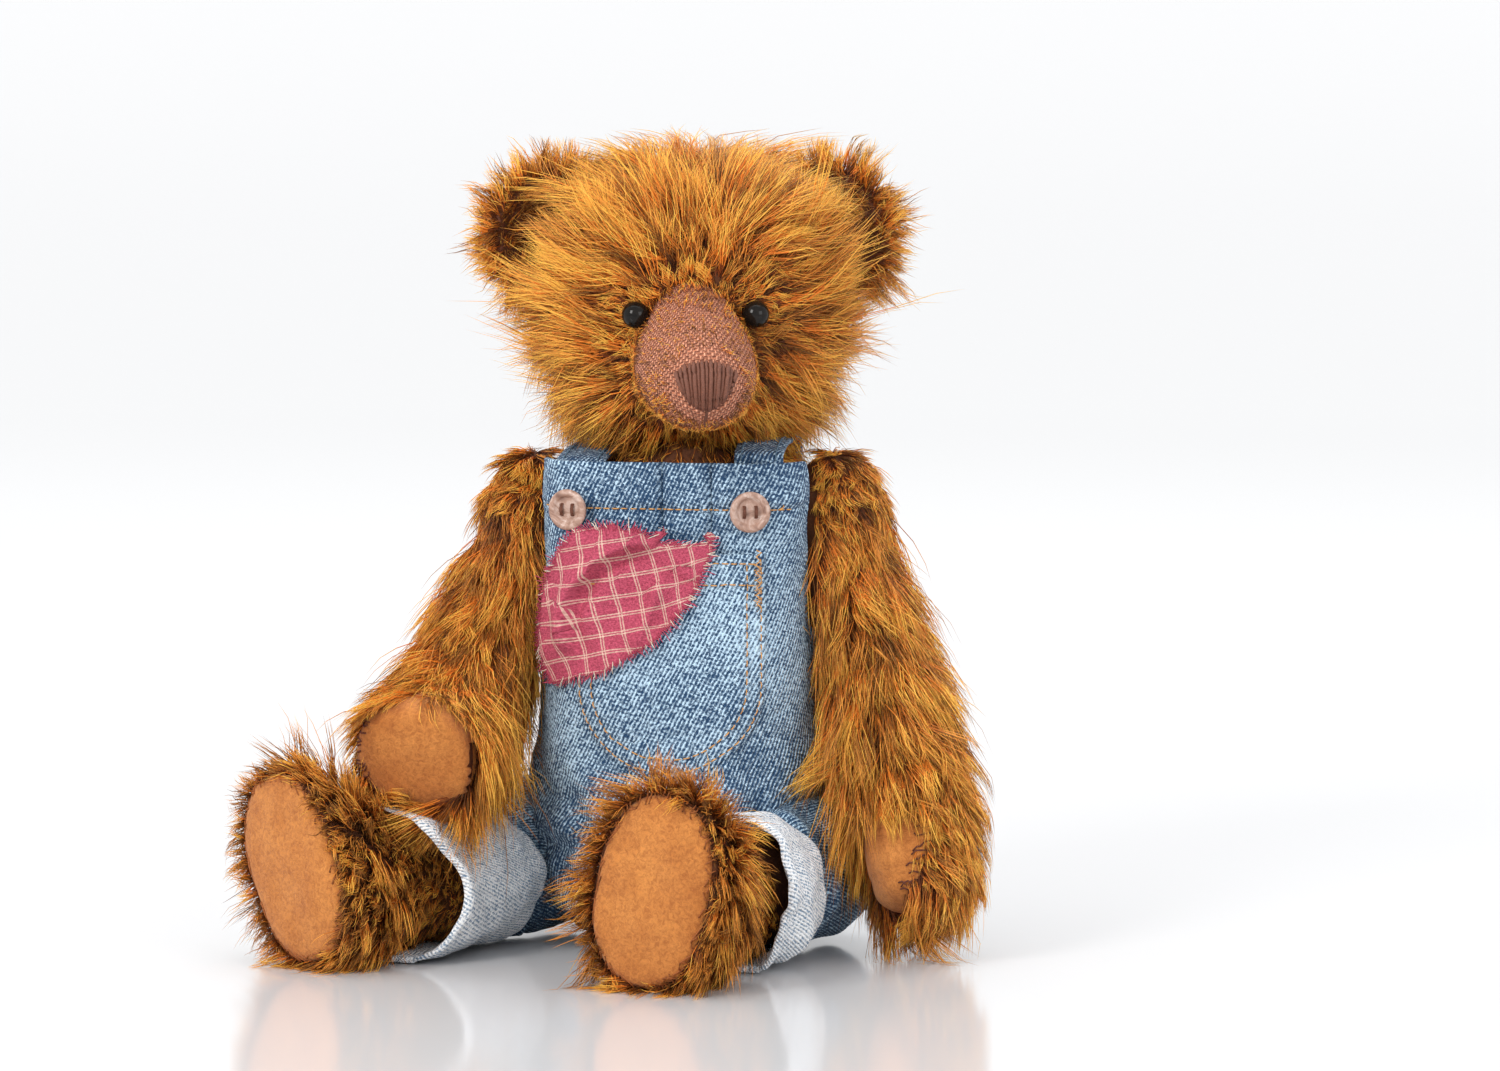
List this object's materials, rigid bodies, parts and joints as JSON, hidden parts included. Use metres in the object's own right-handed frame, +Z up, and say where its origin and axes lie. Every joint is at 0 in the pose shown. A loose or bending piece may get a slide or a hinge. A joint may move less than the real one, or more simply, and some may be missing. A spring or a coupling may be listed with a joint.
{
  "type": "jointed teddy bear",
  "caption": "Seated disc-jointed teddy bear in denim dungarees, with turning head, arms and legs, felt pads and a checked handkerchief.",
  "frame": {"origin": "centre of the flat underside of the seat, where the torso rests on the floor", "axes": "+Z up, the bear faces -Y, +X towards the bear's own left"},
  "size_m": [0.2041, 0.1552, 0.225],
  "materials": {
    "mohair": "long curly mohair pile",
    "muzzle_cloth": "bare open weave",
    "felt": "soft wool felt",
    "denim": "faded twill",
    "denim_reverse": "pale reverse of the twill",
    "checked_cotton": "crimson with cream checks",
    "wadding": "loose fibre",
    "hardboard": "raw",
    "zinc_steel": "plated",
    "brown_thread": "stranded thread",
    "black_glass": "polished",
    "horn_button": "satin horn grain"
  },
  "bodies": {
    "torso": {"torso_cover": "mohair", "torso_stuffing": "wadding", "neck_body_disc": "hardboard", "shoulder_left_body_disc": "hardboard", "shoulder_right_body_disc": "hardboard", "hip_left_body_disc": "hardboard", "hip_right_body_disc": "hardboard", "dungarees_body": "denim", "bib_pocket": "denim", "handkerchief": "checked_cotton", "strap_left": "denim", "strap_right": "denim", "button_left": "horn_button", "button_right": "horn_button", "button_thread_left": "brown_thread", "button_thread_right": "brown_thread"},
    "head": {"head_cover": "mohair", "head_stuffing": "wadding", "muzzle_cover": "muzzle_cloth", "muzzle_stuffing": "wadding", "eye_left": "black_glass", "eye_right": "black_glass", "ear_left": "mohair", "ear_right": "mohair", "nose_stitching": "brown_thread", "mouth_stitch": "brown_thread", "neck_head_disc": "hardboard", "neck_bolt": "zinc_steel", "neck_lock_nut": "zinc_steel"},
    "arm_left": {"arm_left_cover": "mohair", "arm_left_stuffing": "wadding", "paw_pad_left": "felt", "shoulder_left_limb_disc": "hardboard", "shoulder_left_bolt": "zinc_steel", "shoulder_left_lock_nut": "zinc_steel"},
    "leg_left": {"leg_left_cover": "mohair", "leg_left_stuffing": "wadding", "sole_pad_left": "felt", "trouser_leg_left": "denim", "cuff_left": "denim_reverse", "hip_left_limb_disc": "hardboard", "hip_left_bolt": "zinc_steel", "hip_left_lock_nut": "zinc_steel"},
    "arm_right": {"arm_right_cover": "mohair", "arm_right_stuffing": "wadding", "paw_pad_right": "felt", "shoulder_right_limb_disc": "hardboard", "shoulder_right_bolt": "zinc_steel", "shoulder_right_lock_nut": "zinc_steel"},
    "leg_right": {"leg_right_cover": "mohair", "leg_right_stuffing": "wadding", "sole_pad_right": "felt", "trouser_leg_right": "denim", "cuff_right": "denim_reverse", "hip_right_limb_disc": "hardboard", "hip_right_bolt": "zinc_steel", "hip_right_lock_nut": "zinc_steel"}
  },
  "joints": [
    {"name": "neck_swivel", "type": "hinge", "parent": "torso", "child": "head", "pos_m": [0.002, 0, 0.148], "axis": [0, 0, 1], "continuous": true},
    {"name": "shoulder_left", "type": "hinge", "parent": "torso", "child": "arm_left", "pos_m": [0.0345, 0, 0.124], "axis": [-1, 0, 0], "range_deg": [-50, 120]},
    {"name": "hip_left", "type": "hinge", "parent": "torso", "child": "leg_left", "pos_m": [0.02955, -0.00526, 0.0235], "axis": [0.9781, -0.2079, 0], "range_deg": [0, 95]},
    {"name": "shoulder_right", "type": "hinge", "parent": "torso", "child": "arm_right", "pos_m": [-0.0345, 0, 0.124], "axis": [-1, 0, 0], "range_deg": [0, 90]},
    {"name": "hip_right", "type": "hinge", "parent": "torso", "child": "leg_right", "pos_m": [-0.02977, 0.00547, 0.0235], "axis": [0.9511, -0.309, 0], "range_deg": [0, 95]}
  ]
}
